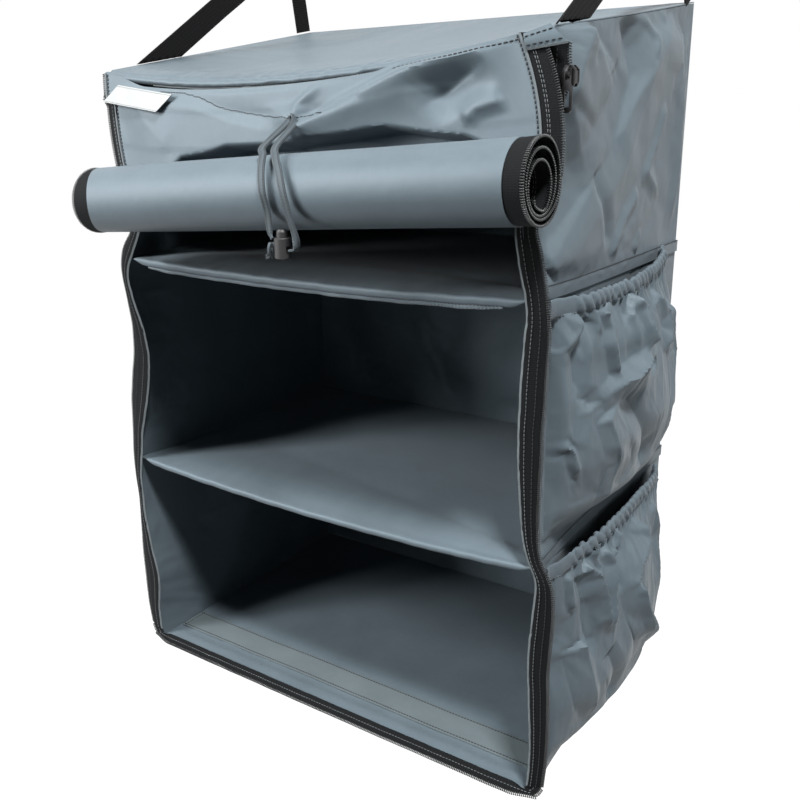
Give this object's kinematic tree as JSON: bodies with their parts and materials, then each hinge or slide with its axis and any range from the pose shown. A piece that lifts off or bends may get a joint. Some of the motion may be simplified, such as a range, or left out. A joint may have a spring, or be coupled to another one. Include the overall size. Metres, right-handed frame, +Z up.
{
  "type": "hanging collapsible storage shelf",
  "caption": "Hanging fabric cupboard with boarded shelves that folds flat, with side pockets, a rolled-up zipped front flap and webbing hanging loops.",
  "frame": {"origin": "middle of the flat underside of the base, between the outer faces of the side walls and of the front edge and back wall", "axes": "+X to the right as seen from the front, -Y out of the open front, +Z up towards the hanging loops"},
  "size_m": [0.592, 0.4225, 0.8199],
  "materials": {
    "coated_fabric": "blue-grey coated polyester, slight sheen",
    "facing_cloth": "paler stitched facing strip",
    "zip_tape": "black woven zip tape with a nylon coil",
    "webbing": "black polypropylene webbing",
    "tie_cloth": "folded and stitched self-fabric tie",
    "elastic_hem": "fabric hem gathered on elastic",
    "lock_plastic": "black moulded plastic",
    "spring_steel": "bright spring wire",
    "slider_metal": "black painted die-cast metal",
    "board_plastic": "dark plastic stiffening board",
    "label_film": "blank white sewn label"
  },
  "bodies": {
    "top": {"top_panel": "coated_fabric", "top_front_hem": "coated_fabric", "left_wall_upper": "coated_fabric", "right_wall_upper": "coated_fabric", "back_wall_upper": "coated_fabric", "left_zip_tape_upper": "zip_tape", "right_zip_tape_upper": "zip_tape", "left_zip_end_cover": "zip_tape", "right_zip_end_cover": "zip_tape"},
    "shelf_1": {"shelf_1_board": "board_plastic", "shelf_1_sleeve": "coated_fabric", "shelf_1_front_lip": "coated_fabric", "left_wall_middle": "coated_fabric", "right_wall_middle": "coated_fabric", "back_wall_middle": "coated_fabric", "left_zip_tape_middle": "zip_tape", "right_zip_tape_middle": "zip_tape", "left_pocket_middle": "coated_fabric", "right_pocket_middle": "coated_fabric", "left_pocket_elastic_middle": "elastic_hem", "right_pocket_elastic_middle": "elastic_hem"},
    "shelf_2": {"shelf_2_board": "board_plastic", "shelf_2_sleeve": "coated_fabric", "shelf_2_front_lip": "coated_fabric", "left_wall_lower": "coated_fabric", "right_wall_lower": "coated_fabric", "back_wall_lower": "coated_fabric", "left_zip_tape_lower": "zip_tape", "right_zip_tape_lower": "zip_tape", "left_pocket_lower": "coated_fabric", "right_pocket_lower": "coated_fabric", "left_pocket_elastic_lower": "elastic_hem", "right_pocket_elastic_lower": "elastic_hem"},
    "base": {"base_board": "board_plastic", "base_sleeve": "coated_fabric", "base_facing_strip": "facing_cloth", "base_zip_tape": "zip_tape"},
    "flap": {"front_flap": "coated_fabric", "flap_zip_tape_left": "zip_tape", "flap_zip_tape_right": "zip_tape", "blank_label": "label_film", "tie_strand_left": "tie_cloth", "tie_strand_right": "tie_cloth", "tie_knot": "tie_cloth"},
    "cord_lock": {"cord_lock_body": "lock_plastic", "cord_lock_spring": "spring_steel"},
    "lock_button": {"cord_lock_button": "lock_plastic"},
    "zip_slider": {"zip_slider_body": "slider_metal"},
    "zip_pull": {"zip_pull_tab": "slider_metal"},
    "left_strap": {"left_hanging_strap": "webbing"},
    "right_strap": {"right_hanging_strap": "webbing"}
  },
  "joints": [
    {"name": "tier_1_fold", "type": "slide", "parent": "top", "child": "shelf_1", "axis": [0, 0, 1], "range_m": [0, 0.15], "deforming": ["left_wall_upper", "right_wall_upper", "back_wall_upper", "left_zip_tape_upper", "right_zip_tape_upper"]},
    {"name": "tier_2_fold", "type": "slide", "parent": "shelf_1", "child": "shelf_2", "axis": [0, 0, 1], "range_m": [0, 0.19], "deforming": ["left_wall_middle", "right_wall_middle", "back_wall_middle", "left_zip_tape_middle", "right_zip_tape_middle", "left_pocket_middle", "right_pocket_middle"]},
    {"name": "tier_3_fold", "type": "slide", "parent": "shelf_2", "child": "base", "axis": [0, 0, 1], "range_m": [0, 0.19], "deforming": ["left_wall_lower", "right_wall_lower", "back_wall_lower", "left_zip_tape_lower", "right_zip_tape_lower", "left_pocket_lower", "right_pocket_lower"]},
    {"name": "flap_lift", "type": "hinge", "parent": "top", "child": "flap", "pos_m": [0, -0.1712, 0.659], "axis": [-1, 0, 0], "range_deg": [0, 100]},
    {"name": "cord_lock_slide", "type": "slide", "parent": "flap", "child": "cord_lock", "axis": [0, 0, 1], "range_m": [0, 0.006]},
    {"name": "cord_lock_press", "type": "slide", "parent": "cord_lock", "child": "lock_button", "axis": [0, 0, -1], "range_m": [0, 0.0022], "stiffness_N_per_m": 300, "springref_m": -0.003, "deforming": ["cord_lock_spring"]},
    {"name": "zip_slide", "type": "slide", "parent": "top", "child": "zip_slider", "axis": [0, 0, -1], "range_m": [0, 0.15]},
    {"name": "zip_pull_swing", "type": "hinge", "parent": "zip_slider", "child": "zip_pull", "pos_m": [0.266, -0.1681, 0.6513], "axis": [-1, 0, 0], "range_deg": [0, 150]},
    {"name": "left_strap_fold", "type": "hinge", "parent": "top", "child": "left_strap", "pos_m": [-0.2491, -0.1683, 0.6706], "axis": [0, 0.9861, 0.1664], "range_deg": [0, 80]},
    {"name": "right_strap_fold", "type": "hinge", "parent": "top", "child": "right_strap", "pos_m": [0.2491, -0.1683, 0.6706], "axis": [0, -0.9861, -0.1664], "range_deg": [0, 80]}
  ]
}
